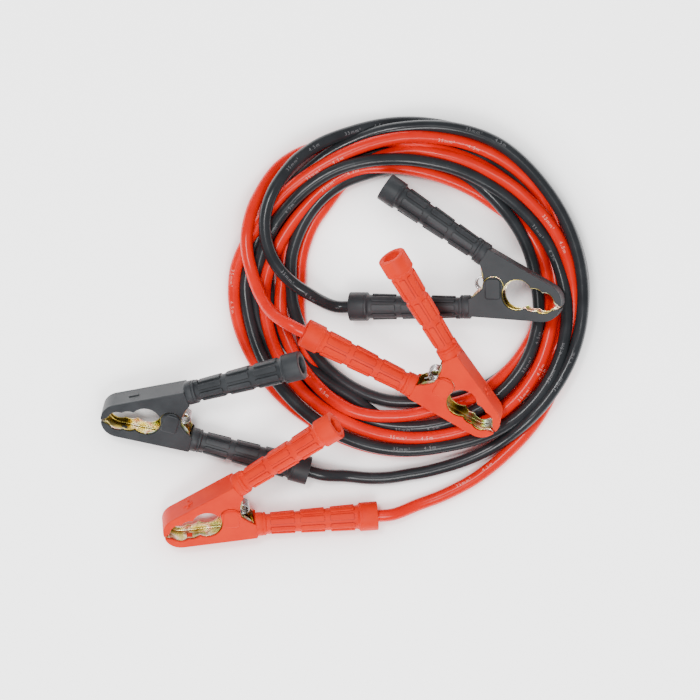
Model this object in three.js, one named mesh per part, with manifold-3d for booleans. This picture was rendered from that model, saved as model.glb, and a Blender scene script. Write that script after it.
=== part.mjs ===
import * as THREE from 'three';
import { mergeVertices } from 'three/addons/utils/BufferGeometryUtils.js';
import Module from 'manifold-3d';

// A jumper cable set: a red and a black cable, wound into one coil, with a clamp on each of the
// four cable ends. Millimetres, +Z up, the floor at Z = 0.

const radians = THREE.MathUtils.degToRad;

// Driving sizes
const CABLE_DIAMETER = 12.5;
const CLAMP_WIDTH = 25;
const WALL = 2.4;
const SIDE_WALL = 1.6;
const STEEL = 1.5;
const GAP = 0.3;
const NOSE_RADIUS = 18;
const EAR_RADIUS = 10.3;
const NOTCH_RADIUS = 11.2;
const RIVET_RADIUS = 4;
const COLLAR_RADIUS = 14.5;
const HANDLE_ANGLE = 17.2;
const HANDLE_LENGTH = 122;
const COLLAR_START = 104;
const GRIP_END_RADIUS = 13.4;
const HOLLOW_FROM = 98;
const BOSS_HEIGHT = 1.8;
const SPRING_RADIUS = 6.4;
const SPRING_WIRE = 2.1;
const SPRING_TURNS = 5;
const SPRING_LEG = 14;

// The clamp in its own frame: the pivot at the origin, X to the jaw's tip, Y to the free half
const NOSE_CENTRE = [52.7, 1];
const HANDLE_START = [-17.7, 27.2];
const JUNCTION_HALF = 8.5;
const OUTER_EDGE_ANGLE = 13.1;
const CABLE_CAVITY_HALF = CLAMP_WIDTH / 2 - SIDE_WALL;
const CABLE_STEEL_HALF = CABLE_CAVITY_HALF - GAP;
const FREE_CAVITY_HALF = CABLE_STEEL_HALF - STEEL;
const FREE_STEEL_HALF = FREE_CAVITY_HALF - GAP;
const OPENING = [
  { x: 25.3, radius: 14.6 },
  { x: 42.3, radius: 11 },
  { x: 53, radius: 10 },
];
const OPENING_LIP = 0.9;
const BEAK_START = 61.5;
const SPRING_CENTRE = [-12.6, 0];
const SPRING_EXTRA = radians(60);
const SPRING_RISE = 2 * (FREE_STEEL_HALF - STEEL) - SPRING_WIRE - 2 * GAP;

// The coil's centre and the clamps' places, seen from above. A pivot at height 0 stands for a
// clamp that lies on the floor, which is then lifted until its lowest point touches the floor.
const COIL_CENTRE = [60, 50];
const CLAMPS = [
  {
    name: 'black_left', colour: 'black', pivot: [-177.6, -65.5, 0],
    heading: 179, pitch: -7, roll: 33, side: -1,
  },
  {
    name: 'red_left', colour: 'red', pivot: [-119.5, -159.8, 0],
    heading: 197.5, pitch: -9, roll: 38, side: -1,
  },
  {
    name: 'red_right', colour: 'red', pivot: [94.4, -31.1, 62],
    heading: -41.7, pitch: -15, roll: 26.5, side: 1,
  },
  {
    name: 'black_right', colour: 'black', pivot: [144.2, 63.6, 45.5],
    heading: -17.5, pitch: 8, roll: 9, side: 1,
  },
];

const wasm = await Module();
wasm.setup();

const MATERIALS = {
  red: () => new THREE.MeshStandardMaterial({ color: 0xe63a22, roughness: 0.5, metalness: 0 }),
  black: () => new THREE.MeshStandardMaterial({ color: 0x3a3d40, roughness: 0.5, metalness: 0 }),
  redCable: () => new THREE.MeshStandardMaterial({ color: 0xe02c1e, roughness: 0.35, metalness: 0 }),
  blackCable: () => new THREE.MeshStandardMaterial({ color: 0x2c2e31, roughness: 0.35, metalness: 0 }),
  yellowZinc: () => new THREE.MeshStandardMaterial({ color: 0xc0a24a, roughness: 0.35, metalness: 0.9 }),
  springSteel: () => new THREE.MeshStandardMaterial({ color: 0xc8c9cb, roughness: 0.3, metalness: 1 }),
};

// Closed meshes and booleans
function solidOf(geometry) {
  const plain = geometry.clone();
  plain.deleteAttribute('normal');
  plain.deleteAttribute('uv');
  const merged = mergeVertices(plain, 1e-4);
  const mesh = new wasm.Mesh({
    numProp: 3,
    vertProperties: new Float32Array(merged.attributes.position.array),
    triVerts: new Uint32Array(merged.index.array),
  });
  mesh.merge();
  return new wasm.Manifold(mesh);
}

function geometryOf(solid) {
  const mesh = solid.getMesh();
  const geometry = new THREE.BufferGeometry();
  const position = new THREE.BufferAttribute(new Float32Array(mesh.vertProperties), 3);
  geometry.setAttribute('position', position);
  geometry.setIndex(new THREE.BufferAttribute(new Uint32Array(mesh.triVerts), 1));
  geometry.computeVertexNormals();
  return geometry;
}

function plate(points, low, high) {
  const shape = new THREE.Shape(points.map(([x, y]) => new THREE.Vector2(x, y)));
  const geometry = new THREE.ExtrudeGeometry(shape, { depth: high - low, bevelEnabled: false });
  return solidOf(geometry.translate(0, 0, low));
}

function disc(x, y, radius, half, segments = 20) {
  const geometry = new THREE.CylinderGeometry(radius, radius, 2 * half, segments);
  return solidOf(geometry.rotateX(Math.PI / 2).translate(x, y, 0));
}

// The clamp half's outline, for the free half: side = 1, and for the cable half: side = -1
function handleDirection() {
  const angle = radians(HANDLE_ANGLE);
  return [-Math.cos(angle), Math.sin(angle)];
}

function handlePoint(along, across) {
  const [ux, uy] = handleDirection();
  return [HANDLE_START[0] + ux * along + uy * across, HANDLE_START[1] + uy * along - ux * across];
}

function noseArc(inset) {
  const points = [];
  const steps = 7;
  const start = radians(-3);
  const end = radians(90 - OUTER_EDGE_ANGLE);
  for (let step = 0; step <= steps; step += 1) {
    const angle = start + ((end - start) * step) / steps;
    const x = NOSE_CENTRE[0] + (NOSE_RADIUS - inset) * Math.cos(angle);
    const y = NOSE_CENTRE[1] + (NOSE_RADIUS - inset) * Math.sin(angle);
    points.push([x, y]);
  }
  return points;
}

function mirrored(points, side) {
  return side > 0 ? points : points.map(([x, y]) => [x, -y]).reverse();
}

function crotchEdge(side) {
  if (side > 0) return [[-17.3, 14.2], [-14.2, 9.2], [-11.8, 4.6], [-10.6, GAP / 2]];
  return [[-16.4, 12.6], [-13, 7.2], [-10.5, 3.6], [-9.8, GAP / 2]];
}

function coverOutline(side) {
  const outline = [
    handlePoint(0, JUNCTION_HALF),
    handlePoint(0, -JUNCTION_HALF),
    ...crotchEdge(side),
    [58, GAP / 2],
    [BEAK_START, 1.3],
    ...noseArc(0).filter(([, y]) => y > 1.3),
  ];
  return mirrored(outline, side);
}

// The hollow that the steel channel sits in, open to the jaw's mouth and to the crotch
function channelOutline(side, inset, reach) {
  const outline = [
    handlePoint(-2, JUNCTION_HALF - inset),
    handlePoint(-2, -JUNCTION_HALF - reach),
    [-30, -2],
    [NOSE_CENTRE[0] + NOSE_RADIUS - inset, -2],
    ...noseArc(inset),
  ];
  return mirrored(outline, side);
}

function openingCutter(lip, half, side) {
  let cutter = null;
  for (const { x, radius } of OPENING) {
    const round = disc(x, 0, radius + lip, half, 20);
    cutter = cutter ? cutter.add(round) : round;
  }
  const beak = plate(
    mirrored([[BEAK_START - lip / 2, 9], [BEAK_START - lip / 2, -2], [80, -2], [80, 9]], side),
    -half - 1,
    half + 1,
  );
  return cutter.subtract(beak);
}

function boss(low, high) {
  const shape = new THREE.Shape();
  const [right, top, corner] = [8, 10.5, 3];
  shape.moveTo(-right + corner, -top);
  shape.lineTo(right - corner, -top);
  shape.quadraticCurveTo(right, -top, right, -top + corner);
  shape.lineTo(right, top - corner);
  shape.quadraticCurveTo(right, top, right - corner, top);
  shape.lineTo(-right + corner, top);
  shape.quadraticCurveTo(-right, top, -right, top - corner);
  shape.lineTo(-right, -top + corner);
  shape.quadraticCurveTo(-right, -top, -right + corner, -top);
  const options = { depth: high - low, bevelEnabled: false, curveSegments: 2 };
  const geometry = new THREE.ExtrudeGeometry(shape, options);
  return solidOf(geometry.rotateZ(radians(HANDLE_ANGLE)).translate(0.4, -1.4, low));
}

// The raised cover of the rivet's end on both faces, inside the ear's round on the free side
function bosses(half) {
  const top = boss(CABLE_CAVITY_HALF, half + BOSS_HEIGHT);
  const bottom = boss(-half - BOSS_HEIGHT, -CABLE_CAVITY_HALF);
  const ear = disc(0, 0, EAR_RADIUS, half + 5, 20);
  const below = plate([[-20, -20], [20, -20], [20, -3], [-20, -3]], -half - 5, half + 5);
  return top.add(bottom).intersect(ear.add(below));
}

// The handle: a ring, the grip, and the end collar, which is hollow on the half without a cable
function handle(side) {
  const hollow = [[9, HANDLE_LENGTH], [8, HOLLOW_FROM], [0, HOLLOW_FROM]];
  const end = side > 0 ? hollow : [[0, HANDLE_LENGTH]];
  const profile = [
    [0, -1.5],
    [10, -1.5],
    [12, 0.4],
    [12, 9.5],
    [11, 10],
    [GRIP_END_RADIUS, COLLAR_START - 2],
    [COLLAR_RADIUS, COLLAR_START],
    [COLLAR_RADIUS, HANDLE_LENGTH],
    ...end,
  ];
  const points = profile.map(([radius, along]) => new THREE.Vector2(radius, along));
  const geometry = new THREE.LatheGeometry(points, 14);
  const [ux, uy] = handleDirection();
  const axis = new THREE.Vector3(ux, side * uy, 0);
  geometry.applyQuaternion(new THREE.Quaternion().setFromUnitVectors(new THREE.Vector3(0, 1, 0), axis));
  return solidOf(geometry.translate(HANDLE_START[0], side * HANDLE_START[1], 0));
}

function cover(side) {
  const half = CLAMP_WIDTH / 2;
  const cavityHalf = side > 0 ? FREE_CAVITY_HALF : CABLE_CAVITY_HALF;
  let solid = plate(coverOutline(side), -half, half);
  if (side < 0) solid = solid.add(disc(0, 0, EAR_RADIUS, half, 20));
  else solid = solid.subtract(disc(0, 0, NOTCH_RADIUS, half + 1, 20));
  solid = solid.subtract(plate(channelOutline(side, WALL, 6), -cavityHalf, cavityHalf));
  if (side < 0) solid = solid.subtract(disc(0, 0, EAR_RADIUS + 1, cavityHalf, 20));
  solid = solid.subtract(openingCutter(OPENING_LIP, half + 1, side));
  if (side < 0) solid = solid.add(bosses(half));
  return geometryOf(solid.add(handle(side)));
}

// The steel jaw: a channel under the cover, with an ear on each side of the rivet
function jaw(side) {
  const outerHalf = side > 0 ? FREE_STEEL_HALF : CABLE_STEEL_HALF;
  const innerHalf = outerHalf - STEEL;
  const inset = WALL + GAP;
  const outline = [
    handlePoint(-2 - GAP, JUNCTION_HALF - inset),
    handlePoint(-2 - GAP, -JUNCTION_HALF - 1.4),
    [-16.2, 11],
    [-12.6, 4.5],
    [-7, GAP / 2],
    [NOSE_CENTRE[0] + NOSE_RADIUS - inset, GAP / 2],
    ...noseArc(inset).filter(([, y]) => y > GAP / 2),
  ];
  let solid = plate(mirrored(outline, side), -outerHalf, outerHalf);
  solid = solid.add(disc(0, 0, EAR_RADIUS - 1, outerHalf, 16));
  solid = solid.subtract(plate(channelOutline(side, inset + STEEL, 8), -innerHalf, innerHalf));
  solid = solid.subtract(disc(0, 0, EAR_RADIUS + 2, innerHalf, 16));
  solid = solid.subtract(disc(0, 0, RIVET_RADIUS + GAP, outerHalf + 1, 12));
  return geometryOf(solid.subtract(openingCutter(0, outerHalf + 1, side)));
}

function rivet() {
  const length = 2 * (CABLE_CAVITY_HALF - GAP);
  return new THREE.CylinderGeometry(RIVET_RADIUS, RIVET_RADIUS, length, 12).rotateX(Math.PI / 2);
}

// The torsion spring: turns behind the rivet, and a straight leg to each half
class SpringPath extends THREE.Curve {
  getPoint(t, target = new THREE.Vector3()) {
    const legShare = 0.1;
    const [cx, cy] = SPRING_CENTRE;
    const sweep = 2 * Math.PI * SPRING_TURNS + SPRING_EXTRA;
    const start = -SPRING_EXTRA / 2;
    const turned = THREE.MathUtils.clamp((t - legShare) / (1 - 2 * legShare), 0, 1);
    const angle = start + sweep * turned;
    const z = SPRING_RISE * (turned - 0.5);
    target.set(cx + SPRING_RADIUS * Math.cos(angle), cy + SPRING_RADIUS * Math.sin(angle), z);
    const past = t < legShare ? t - legShare : Math.max(0, t - 1 + legShare);
    const along = (past / legShare) * SPRING_LEG;
    target.x += -Math.sin(angle) * along;
    target.y += Math.cos(angle) * along;
    return target;
  }
}

function spring() {
  const section = new THREE.Shape();
  section.absarc(0, 0, SPRING_WIRE / 2, 0, 2 * Math.PI);
  const options = { steps: 52, curveSegments: 3, bevelEnabled: false, extrudePath: new SpringPath() };
  return new THREE.ExtrudeGeometry(section, options);
}

// Places the clamp's frame: heading of the tip, tip raised by pitch, free half raised by roll
function clampMatrix({ pivot, heading, pitch, roll, side }) {
  const [h, p, r] = [heading, pitch, roll].map(radians);
  const tip = new THREE.Vector3(Math.cos(h) * Math.cos(p), Math.sin(h) * Math.cos(p), Math.sin(p));
  const level = new THREE.Vector3(-Math.sin(h) * side, Math.cos(h) * side, 0);
  const up = new THREE.Vector3().crossVectors(tip, level).multiplyScalar(side);
  const free = level.clone().multiplyScalar(Math.cos(r)).addScaledVector(up, Math.sin(r));
  const axle = new THREE.Vector3().crossVectors(tip, free);
  return new THREE.Matrix4().makeBasis(tip, free, axle).setPosition(...pivot);
}

function addMesh(group, name, geometry, material) {
  const mesh = new THREE.Mesh(geometry, material);
  mesh.name = name;
  group.add(mesh);
}

function clamp(place) {
  const group = new THREE.Group();
  const plastic = MATERIALS[place.colour];
  addMesh(group, `${place.name}_cable_cover`, cover(-1), plastic());
  addMesh(group, `${place.name}_free_cover`, cover(1), plastic());
  addMesh(group, `${place.name}_cable_jaw`, jaw(-1), MATERIALS.yellowZinc());
  addMesh(group, `${place.name}_free_jaw`, jaw(1), MATERIALS.yellowZinc());
  addMesh(group, `${place.name}_rivet`, rivet(), MATERIALS.yellowZinc());
  addMesh(group, `${place.name}_spring`, spring(), MATERIALS.springSteel());
  place.matrix = clampMatrix(place);
  group.applyMatrix4(place.matrix);
  if (place.pivot[2] === 0) {
    const lowest = new THREE.Box3().setFromObject(group, true).min.z;
    group.position.z -= lowest;
    place.matrix.premultiply(new THREE.Matrix4().makeTranslation(0, 0, -lowest));
  }
  return group;
}

// The coil's outer shape: a ring whose hole, rim and height follow the lie of the turns
function coilSize(angle) {
  const [holeX, holeY] = [8, 14];
  const flat = Math.max(0, Math.cos(angle - radians(225)));
  return {
    inner: 112 + holeX * Math.cos(angle) + holeY * Math.sin(angle),
    outer: 182 + 2 * Math.sin(angle) - 10 * flat * flat,
    height: 30 + 6 * Math.cos(angle - radians(60)),
  };
}

function coil() {
  const section = [
    [-0.72, 0],
    [0.72, 0],
    [0.93, 0.1],
    [1, 0.32],
    [0.98, 0.6],
    [0.84, 0.87],
    [0.5, 1],
    [-0.5, 1],
    [-0.84, 0.87],
    [-0.98, 0.6],
    [-1, 0.32],
    [-0.93, 0.1],
    [-0.72, 0],
  ];
  const [middle, half] = [147, 35];
  const points = section.map(([across, up]) => new THREE.Vector2(middle + half * across, up));
  const geometry = new THREE.LatheGeometry(points, 32).rotateX(Math.PI / 2);
  const position = geometry.attributes.position;
  for (let index = 0; index < position.count; index += 1) {
    const [x, y, z] = [position.getX(index), position.getY(index), position.getZ(index)];
    const angle = Math.atan2(y, x);
    const { inner, outer, height } = coilSize(angle);
    const share = (Math.hypot(x, y) - middle + half) / (2 * half);
    const radius = inner + (outer - inner) * share;
    position.setXYZ(index, radius * Math.cos(angle), radius * Math.sin(angle), z * height);
  }
  return geometry;
}

// A point over the coil: degrees anticlockwise from +X, then the radius and the height
function overCoil([degrees, radius, height]) {
  const angle = radians(degrees);
  const [x, y] = COIL_CENTRE;
  return new THREE.Vector3(x + radius * Math.cos(angle), y + radius * Math.sin(angle), height);
}

// The four stretches between the clamps and the coil, from the handle outwards
const TAILS = [
  {
    name: 'black_left_tail',
    clamp: 0,
    route: [[250, 187.5, 6.8], [257, 183, 6.5], [263, 179.2, 6.5]],
  },
  {
    name: 'red_left_tail',
    clamp: 1,
    route: [[272, 205.5, 7.2], [280, 198, 6.5], [289, 191, 6.5], [297, 185, 6.5]],
  },
  {
    name: 'red_right_tail',
    clamp: 2,
    route: [[185, 139, 57], [177.5, 150.5, 44], [170, 160.5, 36], [164, 169, 33.7], [158, 176, 32]],
  },
  {
    name: 'black_right_tail',
    clamp: 3,
    route: [
      [176, 103, 31.5], [171, 121, 35], [165, 139, 35.4],
      [158, 154.5, 36.1], [150, 167, 36.2], [141, 175, 35.2],
    ],
  },
];

function tail({ clamp: index, route }) {
  const place = CLAMPS[index].matrix;
  const [startX, startY] = handlePoint(HANDLE_LENGTH + GAP, 0);
  const [nextX, nextY] = handlePoint(HANDLE_LENGTH + 1.2 * CABLE_DIAMETER, 0);
  const start = new THREE.Vector3(startX, -startY, 0).applyMatrix4(place);
  const next = new THREE.Vector3(nextX, -nextY, 0).applyMatrix4(place);
  const path = new THREE.CatmullRomCurve3([start, next, ...route.map(overCoil)], false, 'centripetal');
  const section = new THREE.Shape();
  section.absarc(0, 0, CABLE_DIAMETER / 2, 0, 2 * Math.PI);
  const steps = Math.round(path.getLength() / (2 * CABLE_DIAMETER)) + 1;
  const options = { steps, curveSegments: 5, bevelEnabled: false, extrudePath: path };
  return new THREE.ExtrudeGeometry(section, options);
}

const clamps = new THREE.Group();
for (const place of CLAMPS) clamps.add(clamp(place));
clamps.updateMatrixWorld(true);

const cables = new THREE.Group();
addMesh(cables, 'cable_coil', coil().translate(COIL_CENTRE[0], COIL_CENTRE[1], 0), MATERIALS.blackCable());
for (const piece of TAILS) {
  const material = piece.name.startsWith('red') ? MATERIALS.redCable() : MATERIALS.blackCable();
  addMesh(cables, piece.name, tail(piece), material);
}

// The origin is under the middle of the clamps' box
const box = new THREE.Box3().setFromObject(clamps, true);
const set = new THREE.Group();
set.add(clamps, cables);
set.position.set(-(box.min.x + box.max.x) / 2, -(box.min.y + box.max.y) / 2, 0);

export default set;
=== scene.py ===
import bisect
import math

import bmesh
import bpy
from mathutils import Matrix, Vector


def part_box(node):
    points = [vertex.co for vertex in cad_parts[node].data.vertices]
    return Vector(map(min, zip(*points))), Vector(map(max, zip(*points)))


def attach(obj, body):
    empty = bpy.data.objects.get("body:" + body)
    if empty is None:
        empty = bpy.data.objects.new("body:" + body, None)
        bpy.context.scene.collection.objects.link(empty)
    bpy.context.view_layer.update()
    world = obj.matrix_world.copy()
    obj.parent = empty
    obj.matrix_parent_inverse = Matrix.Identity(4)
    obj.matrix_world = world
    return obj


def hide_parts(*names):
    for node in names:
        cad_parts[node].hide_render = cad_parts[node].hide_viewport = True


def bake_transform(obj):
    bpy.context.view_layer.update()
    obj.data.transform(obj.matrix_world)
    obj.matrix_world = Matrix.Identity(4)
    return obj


# A jumper cable set: a red and a black cable wound into one coil, with a clamp on each cable end.
# Routes and the clamps' own sizes are in millimetres and become metres when a mesh is made.

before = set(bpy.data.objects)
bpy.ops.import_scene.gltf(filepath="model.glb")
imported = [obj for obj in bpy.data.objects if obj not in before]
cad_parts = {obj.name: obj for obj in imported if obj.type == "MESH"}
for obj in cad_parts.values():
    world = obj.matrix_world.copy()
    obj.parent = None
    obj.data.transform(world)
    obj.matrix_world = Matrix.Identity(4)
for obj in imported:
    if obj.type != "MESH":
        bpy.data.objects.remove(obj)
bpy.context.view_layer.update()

MM = 0.001
ROOT = "cables_and_fixed_halves"
PHOTO_CENTRE = (17.5, 11.29)
COIL_CENTRE = (77.5, 61.29)

# Meshes: a rounded rim ends in a flat border, shells of one piece overlap, and edges past an angle are sharp
FLAT_BORDER = 0.3
OVERLAP = 0.2
SKIN = 0.02
EDGE_ANGLE = 38
TUBE_EDGE_ANGLE = 60

# Driving sizes, as in the part's source
CABLE_RADIUS = 6.25
HALF_WIDTH = 12.5
WALL = 2.4
STEEL = 1.5
GAP = 0.3
NOSE_CENTRE = (52.7, 1.0)
NOSE_RADIUS = 18.0
OUTER_EDGE_ANGLE = 13.1
EAR_RADIUS = 10.3
NOTCH_RADIUS = 11.2
HANDLE_START = (-17.7, 27.2)
HANDLE_ANGLE = 17.2
HANDLE_LENGTH = 122.0
COLLAR_RADIUS = 14.5
COLLAR_START = 104.0
JUNCTION_HALF = 8.5
BOSS_HEIGHT = 1.8
CABLE_CAVITY_HALF = 10.9
FREE_CAVITY_HALF = 9.1
OPENING = ((25.3, 14.6), (42.3, 11.0), (53.0, 10.0))
OPENING_LIP = 0.9
SPRING_CENTRE = (-12.6, 0.0)
SPRING_RADIUS = 6.4
SPRING_WIRE = 2.1
SPRING_TURNS = 5
SPRING_EXTRA = math.radians(60)
SPRING_LEG = 14.0

# Where the grip runs along the handle, and its radius between the pads at both ends
GRIP_FROM = 10.0
GRIP_TO = COLLAR_START - 2
GRIP_RADII = (9.6, 12.0)

# Where the steel channel ends along the handle
STEEL_END = -2 - GAP

# How far a cable reaches into its handle, how far it leaves it straight, and its least height over the floor
CABLE_INSIDE = 6.0
CABLE_STRAIGHT = 2.4 * CABLE_RADIUS
FLOOR_CLEARANCE = 0.05

# The size print's height and how far it lies over the cable
PRINT_HEIGHT = 3.4
PRINT_LIFT = 0.06

CLAMPS = (
    dict(name="black_left", colour="black", heading=179, pitch=-7, roll=33, side=-1),
    dict(name="red_left", colour="red", heading=197.5, pitch=-9, roll=38, side=-1),
    dict(name="red_right", colour="red", heading=-41.7, pitch=-15, roll=26.5, side=1),
    dict(name="black_right", colour="black", heading=-17.5, pitch=8, roll=9, side=1),
)


# Camera

def make_camera():
    """Straight over the photo's middle, and far off, so that high and low parts keep their places."""
    distance = 8.0
    frame_width = 0.7
    frame_height_over_floor = 0.02
    data = bpy.data.cameras.new("camera")
    data.sensor_width = 36
    data.lens = data.sensor_width * distance / frame_width
    camera = bpy.data.objects.new("camera", data)
    camera.location = (PHOTO_CENTRE[0] * MM, PHOTO_CENTRE[1] * MM, distance + frame_height_over_floor)
    bpy.context.scene.collection.objects.link(camera)
    bpy.context.scene.camera = camera


# Meshes

def make_object(name, shells, matrix, materials, sharp=EDGE_ANGLE):
    """A mesh in metres from shells in millimetres, with its faces turned outwards."""
    mesh = bpy.data.meshes.new(name)
    scaled = Matrix.Scale(MM, 4) @ matrix
    mesh.from_pydata([scaled @ v for v in shells.verts], [], shells.faces)
    for material in materials:
        mesh.materials.append(material)
    mesh.polygons.foreach_set("material_index", shells.slots)
    work = bmesh.new()
    work.from_mesh(mesh)
    bmesh.ops.recalc_face_normals(work, faces=work.faces)
    work.to_mesh(mesh)
    work.free()
    mesh.shade_smooth()
    mesh.set_sharp_from_angle(angle=math.radians(sharp))
    obj = bpy.data.objects.new(name, mesh)
    bpy.context.scene.collection.objects.link(obj)
    return obj


class Shells:
    """Closed shells gathered into one mesh. Each is added at the current place, in the current slot."""

    def __init__(self):
        self.verts = []
        self.faces = []
        self.slots = []
        self.place = Matrix.Identity(4)
        self.slot = 0

    def add(self, verts, faces):
        first = len(self.verts)
        self.verts += [self.place @ Vector(v) for v in verts]
        self.faces += [[first + i for i in face] for face in faces]
        self.slots += [self.slot] * len(faces)

    def loft(self, rings):
        """Rings of the same number of points, closed by a face at each end."""
        count = len(rings[0])
        verts = [v for ring in rings for v in ring]
        faces = []
        last = (len(rings) - 1) * count
        for low in range(0, last, count):
            high = low + count
            for i in range(count):
                j = (i + 1) % count
                faces.append([low + i, low + j, high + j, high + i])
        faces.append(list(range(count))[::-1])
        faces.append(list(range(last, last + count)))
        self.add(verts, faces)

    def prism(self, outline, low, high, low_round=0.0, high_round=0.0, steps=3):
        """A plate between two heights, its rims rounded by an inset of the outline."""
        miters = miter_vectors(outline)
        levels = rim_levels(low, low_round, 1, steps)
        levels += rim_levels(high, high_round, -1, steps)[::-1]
        rings = []
        for z, inset in levels:
            rings.append([(x - inset * mx, y - inset * my, z) for (x, y), (mx, my) in zip(outline, miters)])
        self.loft(rings)

    def wall(self, outline, thickness, low, high):
        """A wall that follows an open line, between two heights."""
        inner = offset_line(outline, thickness)
        self.prism(list(outline) + inner[::-1], low, high)


def rim_levels(height, radius, towards, steps):
    """Heights and insets of a rounded rim, from a flat border inside it to the full outline."""
    if not radius:
        return [(height, 0.0)]
    levels = [(height, radius + FLAT_BORDER)]
    for k in range(steps + 1):
        a = math.pi / 2 * k / steps
        levels.append((height + towards * radius * (1 - math.cos(a)), radius * (1 - math.sin(a))))
    return levels


def miter_vectors(outline):
    """Outward offsets for the points of a closed outline, kept short at very sharp corners."""
    least = 0.45
    area = sum(a[0] * b[1] - b[0] * a[1] for a, b in zip(outline, outline[1:] + outline[:1]))
    sign = 1 if area > 0 else -1
    result = []
    count = len(outline)
    for i in range(count):
        before, here, after = outline[i - 1], outline[i], outline[(i + 1) % count]
        n1 = edge_normal(before, here, sign)
        n2 = edge_normal(here, after, sign)
        scale = 1 / max(least, 1 + n1[0] * n2[0] + n1[1] * n2[1])
        result.append(((n1[0] + n2[0]) * scale, (n1[1] + n2[1]) * scale))
    return result


def edge_normal(a, b, sign=1):
    """The unit normal on the right of the way from a to b, or on its left where the sign is -1."""
    dx, dy = b[0] - a[0], b[1] - a[1]
    length = math.hypot(dx, dy) or 1.0
    return (sign * dy / length, -sign * dx / length)


def offset_line(line, distance):
    """An open line moved to the left of its direction, by less at very sharp corners."""
    least = 0.5
    result = []
    for i, here in enumerate(line):
        n1 = edge_normal(line[max(0, i - 1)], line[max(1, i)])
        n2 = edge_normal(line[min(len(line) - 2, i)], line[min(len(line) - 1, i + 1)])
        scale = distance / max(least, 1 + n1[0] * n2[0] + n1[1] * n2[1])
        result.append((here[0] - (n1[0] + n2[0]) * scale, here[1] - (n1[1] + n2[1]) * scale))
    return result


def tube_mesh(points, radius, sides):
    """A round tube along points, with frames carried along it, closed at both ends."""
    points = [Vector(p) for p in points]
    tangents = []
    for i in range(len(points)):
        before, after = points[max(0, i - 1)], points[min(len(points) - 1, i + 1)]
        tangents.append((after - before).normalized())
    nearly_upright = 0.1
    normal = tangents[0].cross(Vector((0, 0, 1)))
    if normal.length < nearly_upright:
        normal = tangents[0].cross(Vector((0, 1, 0)))
    normal.normalize()
    rings = []
    for point, tangent in zip(points, tangents):
        normal = (normal - tangent * normal.dot(tangent)).normalized()
        other = tangent.cross(normal)
        ring = []
        for k in range(sides):
            a = 2 * math.pi * k / sides
            ring.append(point + radius * (math.cos(a) * normal + math.sin(a) * other))
        rings.append(ring)
    shells = Shells()
    shells.loft(rings)
    return shells


# Materials

# A noise texture's useful values, the depth of a surface's fine grain, and each plastic's two shades
NOISE_LOW = 0.3
NOISE_HIGH = 0.7
GRAIN_DEPTH = 0.0002
RED_SHADES = ((0.80, 0.018, 0.001), (0.90, 0.032, 0.002))
BLACK_SHADES = ((0.024, 0.027, 0.031), (0.040, 0.044, 0.049))
RED_CABLE_SHADES = ((0.76, 0.008, 0.001), (0.86, 0.013, 0.002))
BLACK_CABLE_SHADES = ((0.020, 0.022, 0.025), (0.030, 0.033, 0.037))
# Painted shade: the dark colours of a thin ring round each grip pad's base, where the pad would shade the
# grip.
RED_PAD_SHADE_COLOURS = ((0.34, 0.012, 0.004), (0.42, 0.016, 0.006))
BLACK_PAD_SHADE_COLOURS = ((0.006, 0.007, 0.008), (0.010, 0.011, 0.012))
PALE_INK_SHADES = ((0.82, 0.30, 0.25), (0.90, 0.44, 0.38))
GREY_INK_SHADES = ((0.10, 0.10, 0.11), (0.20, 0.20, 0.21))


def new_material(name):
    material = bpy.data.materials.new(name)
    material.use_nodes = True
    nodes = material.node_tree.nodes
    return material, nodes, material.node_tree.links, nodes["Principled BSDF"]


def noise_node(nodes, links, scale, detail, stretch=(1, 1, 1)):
    coordinates = nodes.new("ShaderNodeTexCoord")
    mapping = nodes.new("ShaderNodeMapping")
    mapping.inputs["Scale"].default_value = stretch
    noise = nodes.new("ShaderNodeTexNoise")
    noise.inputs["Scale"].default_value = scale
    noise.inputs["Detail"].default_value = detail
    links.new(coordinates.outputs["Object"], mapping.inputs["Vector"])
    links.new(mapping.outputs["Vector"], noise.inputs["Vector"])
    return noise


def ramp_node(nodes, links, source, stops, target):
    """A colour ramp between a source and a target socket."""
    ramp = nodes.new("ShaderNodeValToRGB")
    elements = ramp.color_ramp.elements
    while len(elements) < len(stops):
        elements.new(0.5)
    for element, (position, colour) in zip(elements, stops):
        element.position = position
        element.color = (*colour, 1)
    links.new(source, ramp.inputs["Fac"])
    links.new(ramp.outputs["Color"], target)


def shades_node(nodes, links, source, shades, target):
    """A colour ramp from one shade to another over the noise's useful values."""
    ramp_node(nodes, links, source, list(zip((NOISE_LOW, NOISE_HIGH), shades)), target)


def roughness_node(nodes, links, source, roughness, shader):
    node = nodes.new("ShaderNodeMapRange")
    node.inputs["From Min"].default_value = NOISE_LOW
    node.inputs["From Max"].default_value = NOISE_HIGH
    node.inputs["To Min"].default_value = roughness[0]
    node.inputs["To Max"].default_value = roughness[1]
    links.new(source, node.inputs["Value"])
    links.new(node.outputs["Result"], shader.inputs["Roughness"])


def bump_node(nodes, links, source, strength, shader):
    bump = nodes.new("ShaderNodeBump")
    bump.inputs["Strength"].default_value = strength
    bump.inputs["Distance"].default_value = GRAIN_DEPTH
    links.new(source, bump.inputs["Height"])
    links.new(bump.outputs["Normal"], shader.inputs["Normal"])


def plastic(name, shades, roughness, grain, specular=0.5):
    """Moulded plastic: mottled colour, patches of sheen and a fine grain."""
    material, nodes, links, shader = new_material(name)
    patches = noise_node(nodes, links, scale=45, detail=3).outputs["Fac"]
    shades_node(nodes, links, patches, shades, shader.inputs["Base Color"])
    roughness_node(nodes, links, patches, roughness, shader)
    fine = noise_node(nodes, links, scale=1500, detail=2).outputs["Fac"]
    bump_node(nodes, links, fine, grain, shader)
    shader.inputs["Specular IOR Level"].default_value = specular
    return material


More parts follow.
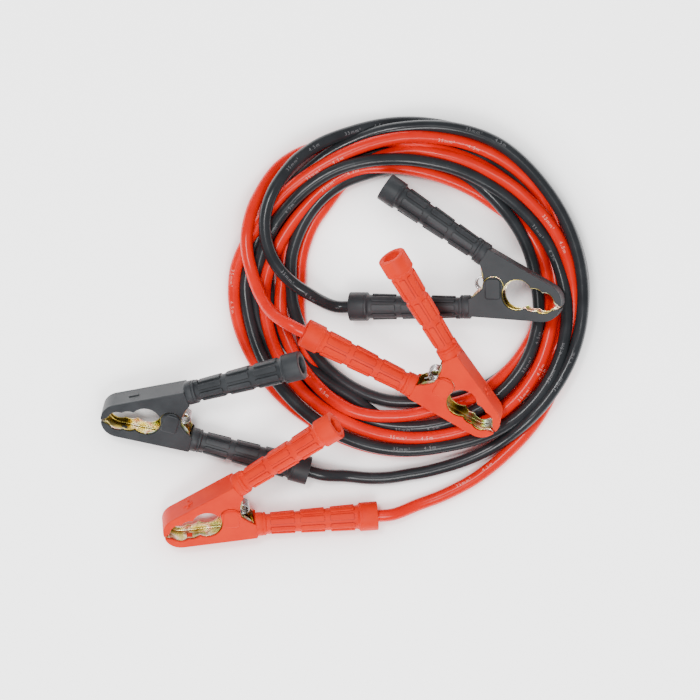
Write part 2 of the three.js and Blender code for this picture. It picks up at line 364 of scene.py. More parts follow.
def yellow_zinc():
    """Yellow passivated zinc: gold, green, pink and silver patches over bright steel."""
    material, nodes, links, shader = new_material("yellow_zinc_finish")
    patches = noise_node(nodes, links, scale=42, detail=1).outputs["Fac"]
    stops = [
        (0.30, (0.12, 0.09, 0.02)),
        (0.40, (0.46, 0.33, 0.06)),
        (0.47, (0.72, 0.60, 0.20)),
        (0.52, (0.82, 0.78, 0.56)),
        (0.57, (0.66, 0.32, 0.24)),
        (0.64, (0.34, 0.42, 0.12)),
        (0.74, (0.78, 0.82, 0.82)),
    ]
    ramp_node(nodes, links, patches, stops, shader.inputs["Base Color"])
    streaks = noise_node(nodes, links, scale=700, detail=3, stretch=(1, 0.2, 1)).outputs["Fac"]
    roughness_node(nodes, links, streaks, (0.22, 0.36), shader)
    bump_node(nodes, links, streaks, 0.12, shader)
    shader.inputs["Metallic"].default_value = 1.0
    return material


def spring_steel():
    material, nodes, links, shader = new_material("spring_steel_finish")
    streaks = noise_node(nodes, links, scale=900, detail=2).outputs["Fac"]
    shades = ((0.55, 0.55, 0.56), (0.82, 0.82, 0.83))
    shades_node(nodes, links, streaks, shades, shader.inputs["Base Color"])
    roughness_node(nodes, links, streaks, (0.2, 0.34), shader)
    shader.inputs["Metallic"].default_value = 1.0
    return material


def floor_material():
    """A white ground that glows, and glows less where the cables and clamps shade it."""
    shade_reach = 0.06
    darkest_open_share = 0.35
    glow_strength = 2.4
    material, nodes, links, shader = new_material("studio_floor")
    patches = noise_node(nodes, links, scale=4, detail=1).outputs["Fac"]
    shades = ((0.93, 0.93, 0.93), (0.94, 0.94, 0.94))
    shades_node(nodes, links, patches, shades, shader.inputs["Base Color"])
    shader.inputs["Roughness"].default_value = 0.9
    shader.inputs["Specular IOR Level"].default_value = 0.1
    shade = nodes.new("ShaderNodeAmbientOcclusion")
    shade.inputs["Distance"].default_value = shade_reach
    stops = [(darkest_open_share, (0, 0, 0)), (1.0, (1, 1, 1))]
    ramp_node(nodes, links, shade.outputs["AO"], stops, shader.inputs["Emission Color"])
    shader.inputs["Emission Strength"].default_value = glow_strength
    return material


MATERIALS = {
    "red_cover": plastic("red_cover_finish", RED_SHADES, (0.48, 0.6), grain=0.10, specular=0.18),
    "black_cover": plastic("black_cover_finish", BLACK_SHADES, (0.46, 0.58), grain=0.10, specular=0.35),
    "red_cable": plastic("red_cable_finish", RED_CABLE_SHADES, (0.22, 0.3), grain=0.04, specular=0.22),
    "black_cable": plastic("black_cable_finish", BLACK_CABLE_SHADES, (0.2, 0.28), grain=0.04, specular=0.24),
    "red_pads": plastic("red_grip_finish", RED_SHADES, (0.46, 0.58), grain=0.6, specular=0.18),
    "black_pads": plastic("black_grip_finish", BLACK_SHADES, (0.42, 0.54), grain=0.6, specular=0.4),
    # Painted shade round the grip pads' bases, in each plastic's colour darkened.
    "red_foot": plastic("red_pad_shade_finish", RED_PAD_SHADE_COLOURS, (0.5, 0.6), grain=0.1),
    "black_foot": plastic("black_pad_shade_finish", BLACK_PAD_SHADE_COLOURS, (0.5, 0.6), grain=0.1),
    "yellow_zinc_steel": yellow_zinc(),
    "spring_steel": spring_steel(),
    "red_ink": plastic("pale_print_finish", PALE_INK_SHADES, (0.5, 0.6), grain=0.05),
    "black_ink": plastic("grey_print_finish", GREY_INK_SHADES, (0.5, 0.6), grain=0.05),
}


# Clamps' places

def clamp_matrix(place):
    """The clamp's frame in millimetres: the pivot, the tip along X, the free half along Y."""
    low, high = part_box(place["name"] + "_rivet")
    pivot = (Vector(low) + Vector(high)) / 2 / MM
    h, p, r = (math.radians(place[k]) for k in ("heading", "pitch", "roll"))
    side = place["side"]
    tip = Vector((math.cos(h) * math.cos(p), math.sin(h) * math.cos(p), math.sin(p)))
    level = Vector((-math.sin(h) * side, math.cos(h) * side, 0))
    up = tip.cross(level) * side
    free = level * math.cos(r) + up * math.sin(r)
    axle = tip.cross(free)
    return Matrix.Translation(pivot) @ Matrix((tip, free, axle)).transposed().to_4x4()


def handle_axes():
    """Directions along the handle, away from the jaw, and across it, away from the other half."""
    a = math.radians(HANDLE_ANGLE)
    return (-math.cos(a), math.sin(a)), (math.sin(a), math.cos(a))


def handle_point(along, across):
    (ux, uy), (vx, vy) = handle_axes()
    return (HANDLE_START[0] + ux * along + vx * across, HANDLE_START[1] + uy * along + vy * across)


def edge_axes():
    """Directions along the jaw's outer edge, towards the tip, and out of it."""
    a = math.radians(OUTER_EDGE_ANGLE)
    return (math.cos(a), -math.sin(a)), (math.sin(a), math.cos(a))


def edge_point(x):
    """The point of the jaw's outer edge at an x. The edge runs on straight from the nose's round."""
    a = math.radians(OUTER_EDGE_ANGLE)
    round_end = (NOSE_CENTRE[0] + NOSE_RADIUS * math.sin(a), NOSE_CENTRE[1] + NOSE_RADIUS * math.cos(a))
    return (x, round_end[1] + (round_end[0] - x) * math.tan(a))


# Clamp outlines, seen along the axle: X to the tip, and Y across the half, away from the other one

def arc(centre, radius, start, end, step=12):
    """Points of a round, with its angles and the step between points in degrees."""
    count = max(2, math.ceil(abs(end - start) / step))
    points = []
    for k in range(count + 1):
        a = math.radians(start + (end - start) * k / count)
        points.append((centre[0] + radius * math.cos(a), centre[1] + radius * math.sin(a)))
    return points


def chain(*parts):
    """One line from several, without points that repeat."""
    least_step = 0.05
    points = []
    for part in parts:
        for point in part:
            if not points or math.dist(points[-1], point) > least_step:
                points.append(point)
    return points


def circle_meeting(first, second):
    """Where two circles centred on the X axis meet, each given as its centre's x and its radius."""
    x = (first[0] + second[0]) / 2 + (first[1] ** 2 - second[1] ** 2) / (2 * (second[0] - first[0]))
    return x, math.sqrt(max(0.0, first[1] ** 2 - (x - first[0]) ** 2))


def angle_at(centre_x, point):
    return math.degrees(math.atan2(point[1], point[0] - centre_x))


def mouth_edge(lip, start, end_x):
    """The edge of the three openings, from an angle on the first to a point on the last."""
    circles = [(x, radius + lip) for x, radius in OPENING]
    angle = start
    parts = []
    for i, (x, radius) in enumerate(circles):
        if i + 1 < len(circles):
            meet = circle_meeting(circles[i], circles[i + 1])
            following = angle_at(circles[i + 1][0], meet)
        else:
            meet = (end_x, math.sqrt(radius ** 2 - (end_x - x) ** 2))
            following = 0.0
        parts.append(arc((x, 0), radius, angle, angle_at(x, meet)))
        angle = following
    return chain(*parts)


def back_line(inset, end_along, start_angle=2):
    """The outer edge from the nose's tip to the handle, moved inwards."""
    nose = arc(NOSE_CENTRE, NOSE_RADIUS - inset, start_angle, 90 - OUTER_EDGE_ANGLE, 8)
    return nose + [handle_point(end_along, JUNCTION_HALF - inset)]


def cover_outline(free):
    """A side of the plastic cover, from the handle's inner corner past the pivot and lips to the back."""
    first = (OPENING[0][0], OPENING[0][1] + OPENING_LIP)
    if free:
        crotch = [(-16.4, 14.8), (-13.3, 9.8), (-11.4, 4.8)]
        crotch_angle = 170.7
        meet = circle_meeting((0, NOTCH_RADIUS), first)
        round_edge = arc((0, 0), NOTCH_RADIUS, crotch_angle, angle_at(0, meet), 10)
        start = angle_at(first[0], meet)
    else:
        crotch = [(-15.4, 13.4), (-12, 8.2), (-10, 4.2)]
        crotch_angle = 169.5
        x, y = circle_meeting((0, EAR_RADIUS), first)
        round_edge = arc((0, 0), EAR_RADIUS, crotch_angle, 360 + angle_at(0, (x, -y)), 10)
        start = 360 + angle_at(first[0], (x, -y))
    lips = [(63.5, 4.2), (69.9, 1.2)]
    mouth_end = 61.05
    corner = [handle_point(0, -JUNCTION_HALF)]
    mouth = mouth_edge(OPENING_LIP, start, mouth_end)
    return chain(corner, crotch, round_edge, mouth, lips, back_line(0, 0, start_angle=4))


def steel_outline(free):
    """A side of the steel channel: it shows as a thin rim round the cover's openings and ear."""
    if free:
        crotch_angle = 168.8
        ear_end = 360.9
        ear = arc((0, 0), EAR_RADIUS - 1, crotch_angle, ear_end, 10)
        start = 179.4
    else:
        crotch_angle = 164.4
        radius = NOTCH_RADIUS - 0.2
        x, y = circle_meeting((0, radius), OPENING[0])
        ear = arc((0, 0), radius, crotch_angle, 360 + angle_at(0, (x, -y)), 10)
        start = 360 + angle_at(OPENING[0][0], (x, -y))
    crotch = [handle_point(STEEL_END, -JUNCTION_HALF - 1.4), (-16.3, 10.9), (-12.8, 4.6)]
    lips = [(62.5, 3), (65, 0.9), (69.7, 0.4), (69.5, 1.3)]
    mouth_end = 61.5
    back = back_line(WALL + GAP, STEEL_END, start_angle=8)
    return chain(crotch, ear, mouth_edge(0, start, mouth_end), lips, back)


def rounded_rectangle(half_x, half_y, corner, steps=3):
    points = []
    for k, (sx, sy) in enumerate(((1, 1), (-1, 1), (-1, -1), (1, -1))):
        centre = (sx * (half_x - corner), sy * (half_y - corner))
        points += arc(centre, corner, 90 * k, 90 * k + 90, 90 / steps)
    return points


# Clamp pieces

def local_place(origin, along, across):
    """A frame at a point of the clamp's plane, with X along one line in that plane and Z along another."""
    x = Vector((*along, 0)).normalized()
    z = Vector((*across, 0)).normalized()
    y = z.cross(x)
    return Matrix.Translation(Vector((*origin, 0))) @ Matrix((x, y, z)).transposed().to_4x4()


def both_sides(shells, outline, low, high, **rims):
    """The same plate on both sides of the clamp's middle plane."""
    for face in (1, -1):
        shells.place = Matrix.Diagonal((1, 1, face, 1))
        shells.prism(outline, low, high, **rims)
    shells.place = Matrix.Identity(4)


def grip_radius(along):
    """The grip's radius between its pads, which grows towards the handle's end."""
    share = min(max((along - GRIP_FROM) / (GRIP_TO - GRIP_FROM), 0), 1)
    return GRIP_RADII[0] + (GRIP_RADII[1] - GRIP_RADII[0]) * share


def around_handle(radius, along, angle):
    """A point on the handle, at an angle from its outer side."""
    x, y = handle_point(along, radius * math.cos(angle))
    return (x, y, radius * math.sin(angle))


def handle_profile(free):
    """Radii and places along the handle, from the ring at its start into the hollow of its end."""
    ring = [(9.5, -1.5), (11.2, -0.9), (11.8, -0.3), (12, 0.5), (12, 6.2), (11.75, 6.6), (11.2, 6.8)]
    second_ring = [(11.2, 7.2), (11.75, 7.4), (11.9, 7.8), (11.9, 9), (11.6, 9.5), (10.4, 9.9)]
    grip = [(grip_radius(GRIP_FROM), GRIP_FROM + 0.4)]
    grip += [(grip_radius(along), along) for along in (40, 70, 101)]
    shoulder = [(12.6, COLLAR_START - 1.4), (13.2, COLLAR_START - 0.9), (14.1, COLLAR_START - 0.6)]
    groove = COLLAR_RADIUS - 0.3
    end = HANDLE_LENGTH
    collar = [
        (COLLAR_RADIUS, COLLAR_START), (COLLAR_RADIUS, COLLAR_START + 1.6), (groove, COLLAR_START + 1.9),
        (groove, COLLAR_START + 2.3), (COLLAR_RADIUS, COLLAR_START + 2.6), (COLLAR_RADIUS, end - 1),
        (COLLAR_RADIUS - 0.3, end - 0.3), (COLLAR_RADIUS - 0.9, end),
    ]
    if free:
        hollow = [(9.3, end), (8.8, end - 0.3), (8.5, end - 1), (8.2, end - 24)]
    else:
        hollow = [(7.4, end), (6.9, end - 0.2), (6.6, end - 0.8), (6.5, end - 5.5)]
    return ring + second_ring + grip + shoulder + collar + hollow


def add_handle(shells, free):
    sides = 56
    rings = []
    for radius, along in handle_profile(free):
        rings.append([around_handle(radius, along, 2 * math.pi * k / sides) for k in range(sides)])
    shells.slot = 0
    shells.loft(rings)
    add_pads(shells)
    add_lug(shells)


def add_pads(shells):
    """Eight rows of three raised pads round the grip, each on a slightly wider dark ring that paints the
    shade round its base. Levels are insets and rises.
    """
    half_length, half_width, corner, least_corner = 12.0, 2.9, 1.6, 0.3
    middles = (26.5, 56.5, 86.5)
    rows = 8
    wrap_radius = 11.6
    pad = ((0, -0.4), (0, 1.05), (0.15, 1.3), (0.4, 1.4), (0.8, 1.4), (1.9, 1.4))
    # A dark ring a little wider than the pad, just over the grip: painted shade round the pad's base.
    pad_shade = ((-0.5, -0.4), (-0.5, 0.05), (0.3, 0.05))
    for middle in middles:
        for row in range(rows):
            turn = 2 * math.pi * row / rows
            for slot, levels in ((1, pad), (2, pad_shade)):
                rings = []
                for inset, rise in levels:
                    size = (half_length - inset, half_width - inset, max(least_corner, corner - inset))
                    ring = []
                    for dx, dy in rounded_rectangle(*size):
                        along = middle + dx
                        ring.append(around_handle(grip_radius(along) + rise, along, turn + dy / wrap_radius))
                    rings.append(ring)
                shells.slot = slot
                shells.loft(rings)


def add_lug(shells):
    """A small raised block on the grip's outer side, behind the rings."""
    shells.slot = 0
    shells.place = local_place(handle_point(12, GRIP_RADII[0]), *handle_axes())
    outline = rounded_rectangle(2.4, 2.6, corner=0.9)
    shells.prism(outline, low=-1, high=2.3, high_round=0.5)
    shells.place = Matrix.Identity(4)


def add_boss(shells):
    """The raised cover of the rivet's end, kept inside the ear's round."""
    half_x, half_y, corner = 8, 10.5, 3
    centre = (0.4, 1.4)
    rim = EAR_RADIUS - 0.4
    ear_side = 3
    turn = math.radians(-HANDLE_ANGLE)
    points = []
    for dx, dy in rounded_rectangle(half_x, half_y, corner, 4):
        x = centre[0] + dx * math.cos(turn) - dy * math.sin(turn)
        y = centre[1] + dx * math.sin(turn) + dy * math.cos(turn)
        reach = math.hypot(x, y)
        if y < ear_side and reach > rim:
            x, y = x * rim / reach, y * rim / reach
        points.append((x, y))
    low, high = HALF_WIDTH - 0.3, HALF_WIDTH + BOSS_HEIGHT
    both_sides(shells, points, low, high, high_round=1.3, steps=4)


def add_sign(shells, colour):
    """A plus or a minus, raised on the free half's back."""
    arm, half = 5.2, 1.4
    minus = [(-arm, -half), (arm, -half), (arm, half), (-arm, half)]
    plus = [
        (-arm, -half), (-half, -half), (-half, -arm), (half, -arm), (half, -half), (arm, -half),
        (arm, half), (half, half), (half, arm), (-half, arm), (-half, half), (-arm, half),
    ]
    shells.place = local_place(edge_point(37), *edge_axes())
    outline = plus if colour == "red" else minus
    shells.prism(outline, low=-0.3, high=0.9, high_round=0.3, steps=2)
    shells.place = Matrix.Identity(4)


def add_step(shells):
    """The raised field at the end of the free half's back, before the handle's ring."""
    shift = 0.5
    field = [(x + shift, y) for x, y in rounded_rectangle(7.6, HALF_WIDTH - 0.75, corner=0.6, steps=2)]
    shells.place = local_place(handle_point(-8, JUNCTION_HALF - 0.84), *edge_axes())
    shells.prism(field, low=-0.6, high=0.45, high_round=0.3, steps=2)
    shells.place = Matrix.Identity(4)


def add_plug(shells):
    """The cover shows through a hole in the steel near the tip."""
    along, (out_x, out_y) = edge_axes()
    shells.place = local_place(edge_point(50), along, (-out_x, -out_y))
    outline = rounded_rectangle(2.8, 4.2, corner=1.2)
    shells.prism(outline, low=WALL - 0.3, high=WALL + GAP + STEEL + 0.15, high_round=0.1, steps=2)
    shells.place = Matrix.Identity(4)


def half_cover(free, colour):
    shells = Shells()
    cavity = FREE_CAVITY_HALF if free else CABLE_CAVITY_HALF
    both_sides(shells, cover_outline(free), cavity, HALF_WIDTH, low_round=0.15, high_round=0.7)
    shells.wall(back_line(SKIN, 1), WALL, -cavity - OVERLAP, cavity + OVERLAP)
    if free:
        add_sign(shells, colour)
        add_step(shells)
    else:
        add_boss(shells)
        add_plug(shells)
    add_handle(shells, free)
    return shells


def half_steel(free):
    """A steel channel: two sides, a back, and a round fillet inside each of its two bends."""
    shells = Shells()
    cavity = FREE_CAVITY_HALF if free else CABLE_CAVITY_HALF
    outer = cavity - GAP
    inner = outer - STEEL
    both_sides(shells, steel_outline(free), inner, outer, low_round=0.2, high_round=0.3, steps=2)
    line = back_line(WALL + GAP + SKIN, STEEL_END, start_angle=6)
    shells.wall(line, STEEL, -inner - OVERLAP, inner + OVERLAP)
    fillet = [(-0.3, -0.3), (1.5, -0.3), (1.5, 0.0), (0.75, 0.2), (0.2, 0.75), (0.0, 1.5), (-0.3, 1.5)]
    inside = offset_line(line, STEEL)
    deeper = offset_line(line, STEEL + 1)
    for face in (1, -1):
        rings = []
        for (x, y), (dx, dy) in zip(inside, deeper):
            rings.append([(x + (dx - x) * d, y + (dy - y) * d, face * (inner - h)) for d, h in fillet])
        shells.loft(rings)
    return shells


def spring_point(angle, reach, z):
    """A point on the spring's turns, or one that lies this far along a straight leg from there."""
    x = SPRING_CENTRE[0] + SPRING_RADIUS * math.cos(angle) - reach * math.sin(angle)
    y = SPRING_CENTRE[1] + SPRING_RADIUS * math.sin(angle) + reach * math.cos(angle)
    return (x, y, z)


def spring_shells():
    rise = 2 * (FREE_CAVITY_HALF - GAP - STEEL) - SPRING_WIRE - 2 * GAP
    sweep = 2 * math.pi * SPRING_TURNS + SPRING_EXTRA
    start = -SPRING_EXTRA / 2
    leg_steps = 4
    turn_steps = SPRING_TURNS * 28
    sides = 12
    reaches = [SPRING_LEG * k / leg_steps for k in range(1, leg_steps + 1)]
    points = [spring_point(start, -reach, -rise / 2) for reach in reversed(reaches)]
    for k in range(turn_steps + 1):
        share = k / turn_steps
        points.append(spring_point(start + sweep * share, 0, rise * (share - 0.5)))
    points += [spring_point(start + sweep, reach, rise / 2) for reach in reaches]
    return tube_mesh(points, SPRING_WIRE / 2, sides)


def make_clamp(place, matrix):
    """One clamp's pieces. The cable half is modelled on the free half's side, then mirrored to its own."""
    name, colour = place["name"], place["colour"]
    mirror = matrix @ Matrix.Diagonal((1, -1, 1, 1))
    # The third plastic paints the shade round the grip pads' bases.
    plastics = [MATERIALS[colour + kind] for kind in ("_cover", "_pads", "_foot")]
    steel = [MATERIALS["yellow_zinc_steel"]]
    pieces = (
        ("free_cover", half_cover(True, colour), matrix, plastics, name + "_free_half", colour + "_cover"),
        ("cable_cover", half_cover(False, colour), mirror, plastics, ROOT, colour + "_cover"),
        ("free_jaw", half_steel(True), matrix, steel, name + "_free_half", "yellow_zinc_steel"),
        ("cable_jaw", half_steel(False), mirror, steel, ROOT, "yellow_zinc_steel"),
    )
    for kind, shells, at, materials, body, slot in pieces:
        obj = make_object(name + "_" + kind + "_look", shells, at, materials)
        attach(obj, body)
        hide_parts(name + "_" + kind)
    spring_metal = [MATERIALS["spring_steel"]]
    spring = make_object(name + "_spring_look", spring_shells(), matrix, spring_metal, TUBE_EDGE_ANGLE)
    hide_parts(name + "_spring")
    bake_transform(spring)


# Cables

# Each cable's way round the coil, read from the photo. A ROUTE gives degrees anticlockwise from +X and the
# distance from the coil's centre, a RISE gives degrees and the height over the floor, and a TAIL's points
# give degrees, distance and height.
BLACK_LEFT_TAIL = [(250, 187.5, 6.8), (257, 183, 6.5), (263, 179.2, 6.5)]
BLACK_ROUTE = """
270:174.5 280:171 290:169.5 300:169 310:168.5 320:169 330:170 340:171.5 350:172.5 360:173 380:174
400:175.5 410:177.5 420:179.5 430:178.5 440:176 450:173 460:171 470:168.5 480:167 495:165 510:163.5
535:165.5 540:164 550:161 560:159 580:154.5 590:153 610:151.5 640:150 650:152 660:155.5 670:158.5
680:160 690:160.5 700:160 710:158.5 720:156 730:153 740:150 750:146.5 760:143 770:140.5 780:139
800:138.5 810:140 820:142.5 830:146 840:149.5 850:151.5 860:153 880:156 890:155.5 900:154.5 910:152.5
930:142 945:135 960:131 970:129 980:128 1000:127.5 1030:129.5 1050:131 1070:130 1080:128.5 1090:127.5
1110:129 1125:130.5 1135:133 1145:136 1155:137 1165:136 1175:134 1190:133.5 1200:135 1210:134.5
1220:132.5 1230:129.5 1240:126 1250:121 1260:118 1270:114.5 1300:107 1320:104 1340:102.5 1350:101.5
1365:104 1380:110 1400:119 1420:128 1440:137 1455:147 1465:156 1475:162 1485:162 1495:161 1505:159.5
1515:157 1530:154 1545:152.5 1560:153 1580:151 1600:148 1620:140 1640:130 1655:121 1665:116.5 1680:113
1700:124 1720:134 1740:142 1755:150 1770:160 1785:168 1800:174 1830:175.5 1860:177 1895:178 1910:178.5
1920:180.5 1930:180
"""
BLACK_RISE = """
270:6.5 290:6.5 302:9 310:15 318:19 345:20 360:26 400:26 420:24 440:22 455:20.5 465:17 475:14.5 480:14
495:10 510:8 525:10 540:13 560:16 570:18.5 585:19 650:19 675:19 690:20 705:20.5 720:24 740:21 760:22
780:24 795:24 810:25 825:28 840:28 855:26 870:22 885:15 900:8.5 920:7 960:7 975:9 990:13 1005:15 1035:16
1050:16 1065:18 1080:18 1095:17 1110:17 1125:17 1145:12 1155:9 1170:7 1180:10 1190:15 1200:17 1215:17
1230:16 1245:15 1260:14 1275:12 1290:9 1305:8 1320:7 1350:7 1365:6.5 1620:6.5 1650:8 1665:9 1680:8
1700:6.5 1885:6.5 1895:8 1905:12 1915:18 1925:24 1932:29
"""
BLACK_RIGHT_TAIL = [
    (1941, 175, 35.2), (1950, 167, 36.2), (1958, 154.5, 36.1), (1965, 139, 35.4), (1971, 121, 35),
    (1976, 103, 31.5),
]
RED_LEFT_TAIL = [(272, 205.5, 7.2), (280, 198, 6.5), (289, 191, 6.5), (297, 185, 6.5)]
RED_ROUTE = """
303:181 310:177.5 320:173 330:168 345:165 360:164 370:163 380:161.5 390:158.5 400:155 410:152.5 420:150
440:148.5 450:149 460:147.5 475:144 490:140 510:136 530:129.5 550:130 560:128.5 580:126.5 600:125.5
610:122.5 620:118 630:115 640:112.5 650:112 660:115 672:117.5 680:119.5 690:123 700:126.5 720:135
730:139.5 740:138.5 750:136 767:128 780:126.5 790:126.5 800:128 810:131 820:135 830:140 840:141 860:140
870:141 880:143 895:146 900:145.5 920:143.5 940:141 960:138 980:137.5 1000:139 1010:140.5 1030:144.5
1050:145 1070:143.5 1080:146 1090:147 1110:145 1155:145 1170:144 1185:143 1195:139 1205:131 1212:126.5
1220:124 1230:120 1240:116 1250:112 1267:112 1275:113 1290:117 1305:122 1320:125 1350:128 1380:131
1410:140 1440:148 1455:155 1470:163 1480:167.5 1490:168.5 1500:168 1510:166.5 1520:164.5 1530:163.2
1540:161.5 1550:160.2 1560:160 1570:161.5 1580:164.5 1585:166 1594:169 1600:173 1605:175.5 1610:177
1620:176 1630:172.5 1640:168 1650:164 1660:159.5 1670:156 1680:154 1700:152 1720:150.5 1750:152 1775:152
1790:157 1815:159 1835:156 1850:153 1860:152.5 1870:152.5 1880:153.5 1890:157 1900:162 1912:172 1920:177
1927:184 1935:187 1940:186 1950:182
"""
RED_RISE = """
303:6.5 345:6.5 352:12 360:18 375:24 385:26 400:26 420:22 440:19 450:15 460:10 465:8 480:6.5 510:6.5
525:10 540:14 555:17 570:18.5 600:18.5 620:17 645:16 660:18 672:14 685:9 700:7 715:7.5 725:11 740:12
750:9 760:6.5 775:6.5 783:9 795:13 805:16 815:18 825:20 840:19 860:18 930:17 990:18 1020:19 1065:18
1080:13 1095:9 1110:6.5 1440:6.5 1455:9 1468:14 1480:15 1500:18 1515:21 1530:25 1545:26 1560:25 1575:22
1590:18 1605:14 1620:11 1640:9 1650:7 1660:6.5 1835:6.5 1850:12 1865:14 1885:14 1895:12 1905:8 1912:6.5
1930:6.5 1938:10 1945:17 1952:26
"""
RED_RIGHT_TAIL = [
    (1958, 176, 32), (1964, 169, 33.7), (1970, 160.5, 36), (1977.5, 150.5, 44), (1985, 139, 57),
]


def read_table(text):
    """The first and the second numbers of a string of pairs."""
    pairs = [item.split(":") for item in text.split()]
    return [float(a) for a, _ in pairs], [float(b) for _, b in pairs]


def smooth_value(table, angle):
    """The table's value at an angle, on a smooth curve through its points."""
    xs, ys = table
    i = min(max(bisect.bisect_right(xs, angle) - 1, 0), len(xs) - 2)
    span = xs[i + 1] - xs[i]
    t = (angle - xs[i]) / span

    def slope(k):
        low, high = max(0, k - 1), min(len(xs) - 1, k + 1)
        return (ys[high] - ys[low]) / (xs[high] - xs[low])

    m0, m1 = slope(i) * span, slope(i + 1) * span
    t2, t3 = t * t, t * t * t
    from_here = (2 * t3 - 3 * t2 + 1) * ys[i] + (t3 - 2 * t2 + t) * m0
    from_next = (3 * t2 - 2 * t3) * ys[i + 1] + (t3 - t2) * m1
    return from_here + from_next


def over_coil(angle, radius, height):
    """A point from its degrees round the coil, its distance from the coil's centre and its height."""
    a = math.radians(angle)
    return Vector((COIL_CENTRE[0] + radius * math.cos(a), COIL_CENTRE[1] + radius * math.sin(a), height))


def coil_points(route, rise):
    step_degrees = 5
    radii, heights = read_table(route), read_table(rise)
    first, last = radii[0][0], radii[0][-1]
    steps = round((last - first) / step_degrees)
    points = []
    for step in range(steps + 1):
        angle = first + (last - first) * step / steps
        points.append(over_coil(angle, smooth_value(radii, angle), smooth_value(heights, angle)))
    return points


def catmull_rom(points, spacing):
    """A centripetal curve through points, sampled about every spacing."""
    least_knot = 1e-4
    ends = [points[0] * 2 - points[1], *points, points[-1] * 2 - points[-2]]
    result = []
    for i in range(1, len(ends) - 2):
        p0, p1, p2, p3 = ends[i - 1:i + 3]
        knots = [0.0]
        for a, b in ((p0, p1), (p1, p2), (p2, p3)):
            knots.append(knots[-1] + max(least_knot, (b - a).length) ** 0.5)
        t0, t1, t2, t3 = knots
        steps = max(1, round((p2 - p1).length / spacing))
        for k in range(steps):
            t = t1 + (t2 - t1) * k / steps
            a1 = p0 * ((t1 - t) / (t1 - t0)) + p1 * ((t - t0) / (t1 - t0))
            a2 = p1 * ((t2 - t) / (t2 - t1)) + p2 * ((t - t1) / (t2 - t1))
            a3 = p2 * ((t3 - t) / (t3 - t2)) + p3 * ((t - t2) / (t3 - t2))
            b1 = a1 * ((t2 - t) / (t2 - t0)) + a2 * ((t - t0) / (t2 - t0))
            b2 = a2 * ((t3 - t) / (t3 - t1)) + a3 * ((t - t1) / (t3 - t1))
            result.append(b1 * ((t2 - t) / (t2 - t1)) + b2 * ((t - t1) / (t2 - t1)))
    result.append(points[-1])
    return result


def on_cable_handle(matrix, along):
    """A point on the axis of a clamp's cable-side handle."""
    x, y = handle_point(along, 0)
    return matrix @ Vector((x, -y, 0))


def cable_line(start, end, left_tail, route, rise, right_tail):
    """A cable's centre line, from inside its left clamp's handle to inside its right clamp's."""
    spacing = 4.4
    inside = HANDLE_LENGTH - CABLE_INSIDE
    out = HANDLE_LENGTH + CABLE_STRAIGHT
    points = [on_cable_handle(start, inside), on_cable_handle(start, out)]
    points += [over_coil(*p) for p in left_tail]
    points += coil_points(route, rise)
    points += [over_coil(*p) for p in right_tail]
    points += [on_cable_handle(end, out), on_cable_handle(end, inside)]
    lowest = CABLE_RADIUS + FLOOR_CLEARANCE
    return [Vector((p.x, p.y, max(p.z, lowest))) for p in catmull_rom(points, spacing)]


def make_cable(colour, line):
    name = colour + "_cable"
    sides = 20
    shells = tube_mesh(line, CABLE_RADIUS, sides)
    cable = make_object(name, shells, Matrix.Identity(4), [MATERIALS[name]], TUBE_EDGE_ANGLE)
    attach(cable, ROOT)
    nodes = [colour + "_left_tail", colour + "_right_tail"]
    if colour == "black":
        nodes.append("cable_coil")
    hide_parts(*nodes)
    return cable


def lengths_along(line):
    """The way from a line's start to each of its points."""
    lengths = [0.0]
    for a, b in zip(line, line[1:]):
        lengths.append(lengths[-1] + (b - a).length)
    return lengths


def angles_along(line):
    """Degrees round the coil for each point of a line, counted on from turn to turn."""
    angles = []
    previous = 180.0
    for point in line:
        angle = math.degrees(math.atan2(point.y - COIL_CENTRE[1], point.x - COIL_CENTRE[0]))
        previous = angle + 360 * round((previous - angle) / 360)
        angles.append(previous)
    return angles


# The size print's places along each route: the degrees of its middle, its turn round the cable away from the
# top towards the coil's hole, and 1 where it reads anticlockwise or -1 where it reads clockwise
PRINTS = {
    "black": (
        (335, 0, 1), (425, -20, -1), (493, 30, -1), (632, 10, 1), (697, 5, 1), (743, 20, -1), (868, 20, -1),
        (993, -25, 1), (1056, -30, 1), (1905, 5, -1), (1928, 0, -1), (1973, 10, 1),
    ),
    "red": (
        (290, 25, 1), (385, 0, -1), (580, 0, 1), (990, -5, 1), (1045, -30, 1), (1512, 20, -1),
        (1563, 25, -1), (1617, -25, 1), (1690, 0, 1), (840, 0, -1), (1765, 0, 1),
    ),
}


def print_shapes():
    """The size print as flat triangles, sliced so that it can bend round the cable."""
    capital_share = 0.7
    slices = 8
    curve = bpy.data.curves.new("size_print", "FONT")
    curve.body = "35mm²      4.5m"
    curve.size = PRINT_HEIGHT / capital_share
    curve.space_character = 1.35
    curve.align_x = "CENTER"
    obj = bpy.data.objects.new("size_print", curve)
    bpy.context.scene.collection.objects.link(obj)
    bpy.context.view_layer.update()
    mesh = bpy.data.meshes.new_from_object(obj.evaluated_get(bpy.context.evaluated_depsgraph_get()))
    bpy.data.objects.remove(obj)
    work = bmesh.new()
    work.from_mesh(mesh)
    for k in range(1, slices):
        geometry = work.verts[:] + work.edges[:] + work.faces[:]
        cut = (0, PRINT_HEIGHT * k / slices, 0)
        bmesh.ops.bisect_plane(work, geom=geometry, plane_co=cut, plane_no=(0, 1, 0))
    work.verts.index_update()
    verts = [tuple(v.co) for v in work.verts]
    faces = [[v.index for v in face.verts] for face in work.faces]
    work.free()
    return verts, faces


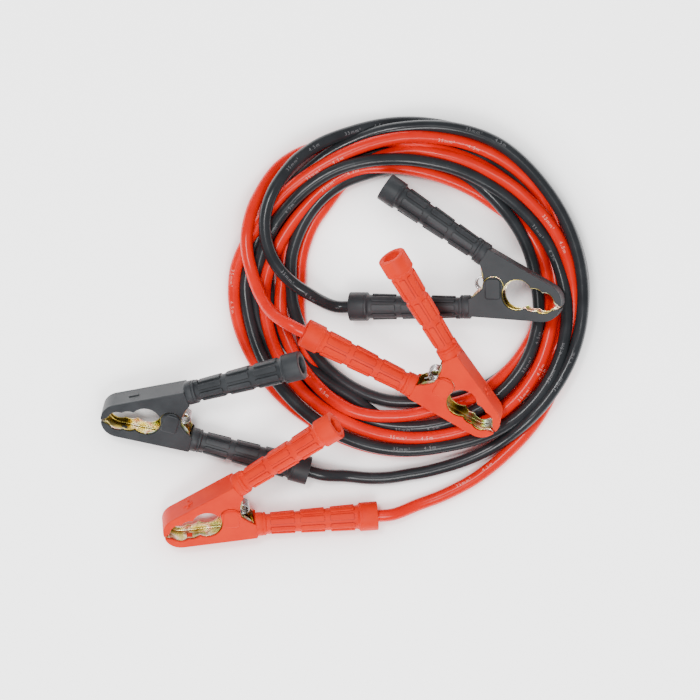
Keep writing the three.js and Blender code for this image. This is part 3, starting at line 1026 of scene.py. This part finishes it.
def on_cable_skin(line, lengths, along, around):
    """A point just over a cable's surface, this far along it and at an angle from its top, outwards."""
    i = min(max(bisect.bisect_right(lengths, along) - 1, 1), len(line) - 2)
    t = (along - lengths[i]) / (lengths[i + 1] - lengths[i])
    point = line[i].lerp(line[i + 1], t)
    before = (line[i] - line[i - 1]).normalized()
    tangent = (line[i + 1] - line[i]).normalized().lerp(before, 0.5 - t / 2).normalized()
    outward = (Vector((point.x, point.y, 0)) - Vector((*COIL_CENTRE, 0))).normalized()
    outward = (outward - tangent * outward.dot(tangent)).normalized()
    up = tangent.cross(outward)
    if up.z < 0:
        up = -up
    direction = up * math.cos(around) + outward * math.sin(around)
    return point + direction * (CABLE_RADIUS + PRINT_LIFT)


def make_prints(colour, line):
    """All of one cable's size prints, as one piece bent round it."""
    verts, faces = print_shapes()
    lengths = lengths_along(line)
    angles = angles_along(line)
    shells = Shells()
    for degrees, roll, sense in PRINTS[colour]:
        middle = min(range(len(angles)), key=lambda i: abs(angles[i] - degrees))
        placed = []
        for x, y, _ in verts:
            around = math.radians(-roll) - sense * (y - PRINT_HEIGHT / 2) / CABLE_RADIUS
            placed.append(on_cable_skin(line, lengths, lengths[middle] + sense * x, around))
        shells.add(placed, faces)
    name = colour + "_cable_print"
    obj = make_object(name, shells, Matrix.Identity(4), [MATERIALS[colour + "_ink"]], TUBE_EDGE_ANGLE)
    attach(obj, ROOT)
    return obj


# Stage

def make_floor():
    half = 6.0
    corners = [(-half, -half, 0), (half, -half, 0), (half, half, 0), (-half, half, 0)]
    mesh = bpy.data.meshes.new("floor")
    mesh.from_pydata(corners, [], [(0, 1, 2, 3)])
    mesh.materials.append(floor_material())
    floor = bpy.data.objects.new("floor", mesh)
    bpy.context.scene.collection.objects.link(floor)


def make_light(name, location, size, power):
    """A round light that points at the photo's middle."""
    aim = Vector((*PHOTO_CENTRE, 0)) * MM
    data = bpy.data.lights.new(name, "AREA")
    data.shape = "DISK"
    data.size = size
    data.energy = power
    light = bpy.data.objects.new(name, data)
    light.location = location
    light.rotation_euler = (aim - Vector(location)).to_track_quat("-Z", "Y").to_euler()
    bpy.context.scene.collection.objects.link(light)


def make_world():
    strength = 0.38
    world = bpy.data.worlds.new("studio")
    bpy.context.scene.world = world
    world.use_nodes = True
    background = world.node_tree.nodes["Background"]
    background.inputs["Color"].default_value = (1, 1, 1, 1)
    background.inputs["Strength"].default_value = strength


def main():
    make_camera()
    places = {place["name"]: clamp_matrix(place) for place in CLAMPS}
    tables = {
        "black": (BLACK_LEFT_TAIL, BLACK_ROUTE, BLACK_RISE, BLACK_RIGHT_TAIL),
        "red": (RED_LEFT_TAIL, RED_ROUTE, RED_RISE, RED_RIGHT_TAIL),
    }
    for colour, table in tables.items():
        line = cable_line(places[colour + "_left"], places[colour + "_right"], *table)
        cable = make_cable(colour, line)
        prints = make_prints(colour, line)
    for place in CLAMPS:
        make_clamp(place, places[place["name"]])
        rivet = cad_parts[place["name"] + "_rivet"]
        rivet.data.materials.clear()
        rivet.data.materials.append(MATERIALS["yellow_zinc_steel"])
    make_floor()
    make_light("key", location=(-0.5, 0.5, 2.5), size=0.5, power=36)
    make_light("front", location=(0.1, -1.25, 2.2), size=0.9, power=42)
    make_world()


main()
